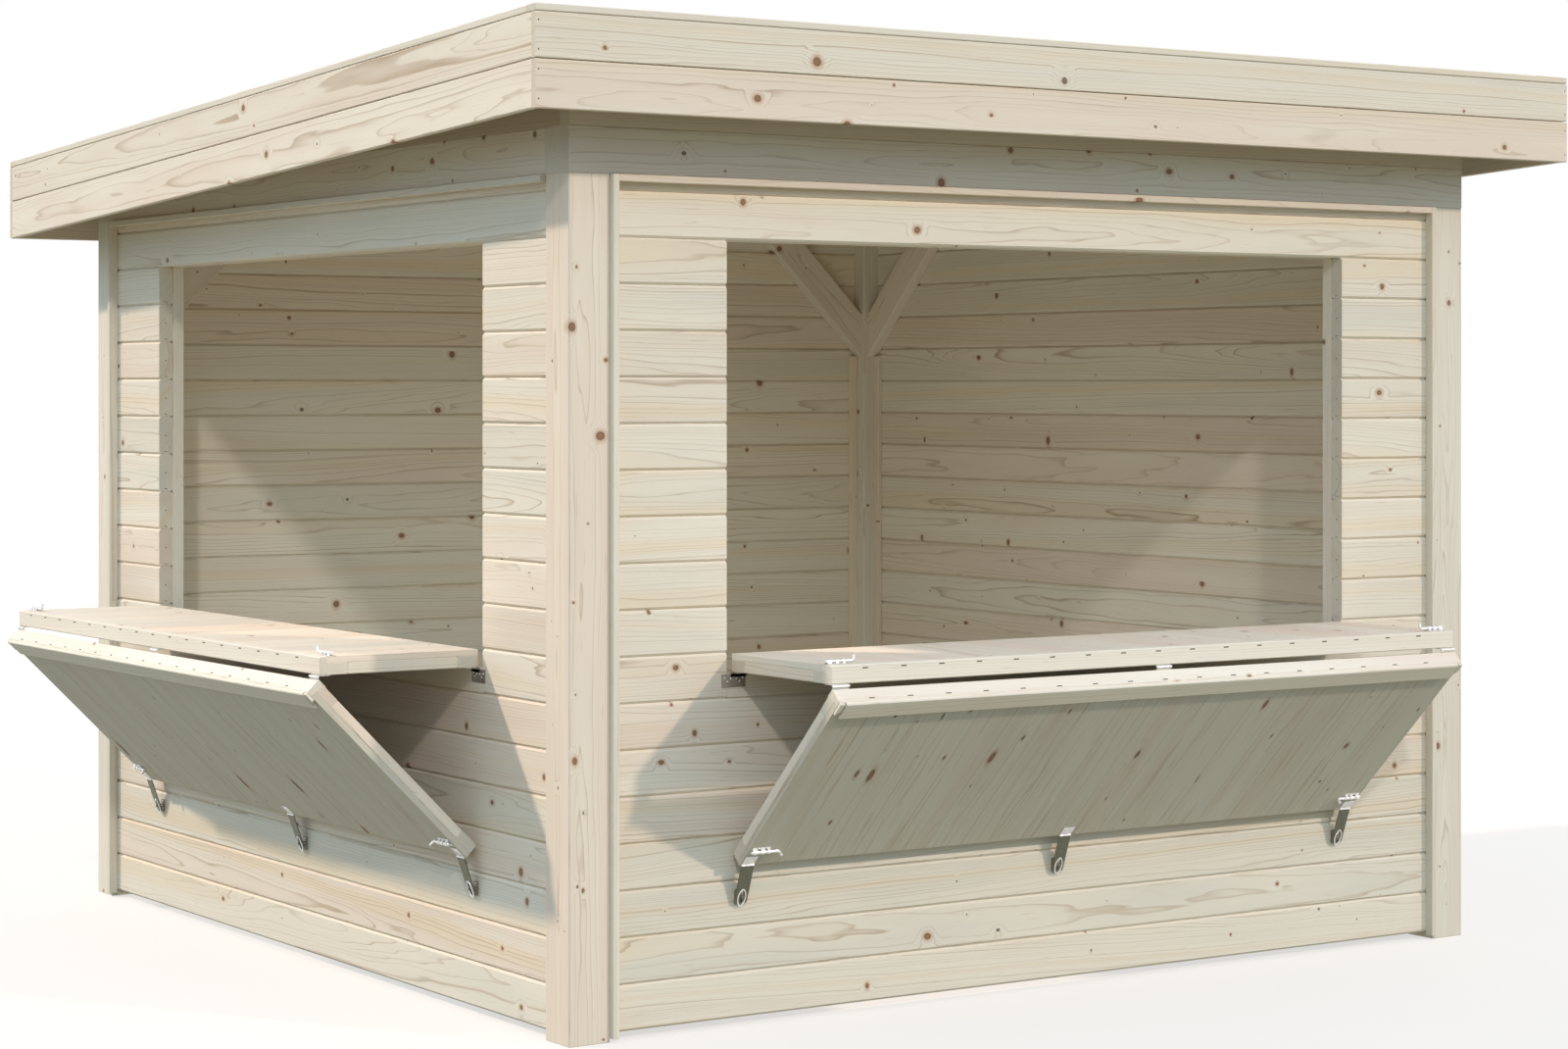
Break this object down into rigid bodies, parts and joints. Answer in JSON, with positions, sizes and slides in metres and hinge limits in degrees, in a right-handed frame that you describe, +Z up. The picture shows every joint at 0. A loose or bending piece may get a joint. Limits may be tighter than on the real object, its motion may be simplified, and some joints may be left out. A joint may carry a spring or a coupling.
{
  "type": "timber garden sales pavilion",
  "caption": "Square timber garden pavilion with board walls, a low mono-pitch roof and two serving openings closed by folding counters that open onto sloping prop panels.",
  "frame": {"origin": "on the ground under the middle of the overall box, with both counters open", "axes": "+Z up, the front serving opening faces -Y, the other serving opening faces -X"},
  "size_m": [3.7512, 3.7512, 2.54],
  "materials": {
    "frame_timber": "planed, untreated",
    "trim_timber": "planed, untreated",
    "roof_boards": "planed, untreated",
    "counter_timber": "planed, untreated",
    "wall_boards": "planed, untreated",
    "zinc": "bright zinc plating"
  },
  "bodies": {
    "root": {"post_front_left": "frame_timber", "post_front_right": "frame_timber", "post_back_left": "frame_timber", "post_back_right": "frame_timber", "beam_front": "frame_timber", "beam_back": "frame_timber", "beam_left": "frame_timber", "beam_right": "frame_timber", "knee_braces": "frame_timber", "front_wall_sill": "wall_boards", "front_wall_left_pier": "wall_boards", "front_wall_right_pier": "wall_boards", "front_wall_header": "wall_boards", "left_wall_sill": "wall_boards", "left_wall_back_pier": "wall_boards", "left_wall_front_pier": "wall_boards", "left_wall_header": "wall_boards", "back_wall": "wall_boards", "right_wall": "wall_boards", "cover_battens": "trim_timber", "front_opening_frame": "frame_timber", "left_opening_frame": "frame_timber", "rafters": "frame_timber", "eaves_blocks": "frame_timber", "roof_deck": "roof_boards", "fascia_front": "trim_timber", "fascia_back": "trim_timber", "fascia_left": "trim_timber", "fascia_right": "trim_timber", "roof_trim": "trim_timber", "front_wall_ironwork": "zinc", "left_wall_ironwork": "zinc"},
    "front_counter": {"front_counter_boards": "counter_timber", "front_counter_frame": "counter_timber", "front_counter_ironwork": "zinc"},
    "front_prop": {"front_prop_boards": "counter_timber", "front_prop_frame": "counter_timber", "front_prop_ironwork": "zinc"},
    "front_hasps": {"front_hasps": "zinc"},
    "left_counter": {"left_counter_boards": "counter_timber", "left_counter_frame": "counter_timber", "left_counter_ironwork": "zinc"},
    "left_prop": {"left_prop_boards": "counter_timber", "left_prop_frame": "counter_timber", "left_prop_ironwork": "zinc"},
    "left_hasps": {"left_hasps": "zinc"}
  },
  "joints": [
    {"name": "front_counter_hinge", "type": "hinge", "parent": "root", "child": "front_counter", "pos_m": [0.13555, -1.38345, 0.9], "axis": [-1, 0, 0], "range_deg": [0, 90]},
    {"name": "front_prop_hinge", "type": "hinge", "parent": "front_counter", "child": "front_prop", "pos_m": [0.13555, -1.83843, 0.899], "axis": [-1, 0, 0], "range_deg": [0, 135]},
    {"name": "front_hasp_hinge", "type": "hinge", "parent": "front_prop", "child": "front_hasps", "pos_m": [0.13555, -1.42391, 0.41405], "axis": [-1, 0, 0], "range_deg": [0, 120]},
    {"name": "left_counter_hinge", "type": "hinge", "parent": "root", "child": "left_counter", "pos_m": [-1.38345, 0.13555, 0.9], "axis": [0, 1, 0], "range_deg": [0, 90]},
    {"name": "left_prop_hinge", "type": "hinge", "parent": "left_counter", "child": "left_prop", "pos_m": [-1.83843, 0.13555, 0.899], "axis": [0, 1, 0], "range_deg": [0, 135]},
    {"name": "left_hasp_hinge", "type": "hinge", "parent": "left_prop", "child": "left_hasps", "pos_m": [-1.42391, 0.13555, 0.41405], "axis": [0, 1, 0], "range_deg": [0, 120]}
  ],
  "couplings": [
    {"joint": "front_prop_hinge", "follows": "front_counter_hinge", "ratio": 1.5},
    {"joint": "front_hasp_hinge", "follows": "front_counter_hinge", "ratio": 1.3333},
    {"joint": "left_prop_hinge", "follows": "left_counter_hinge", "ratio": 1.5},
    {"joint": "left_hasp_hinge", "follows": "left_counter_hinge", "ratio": 1.3333}
  ]
}
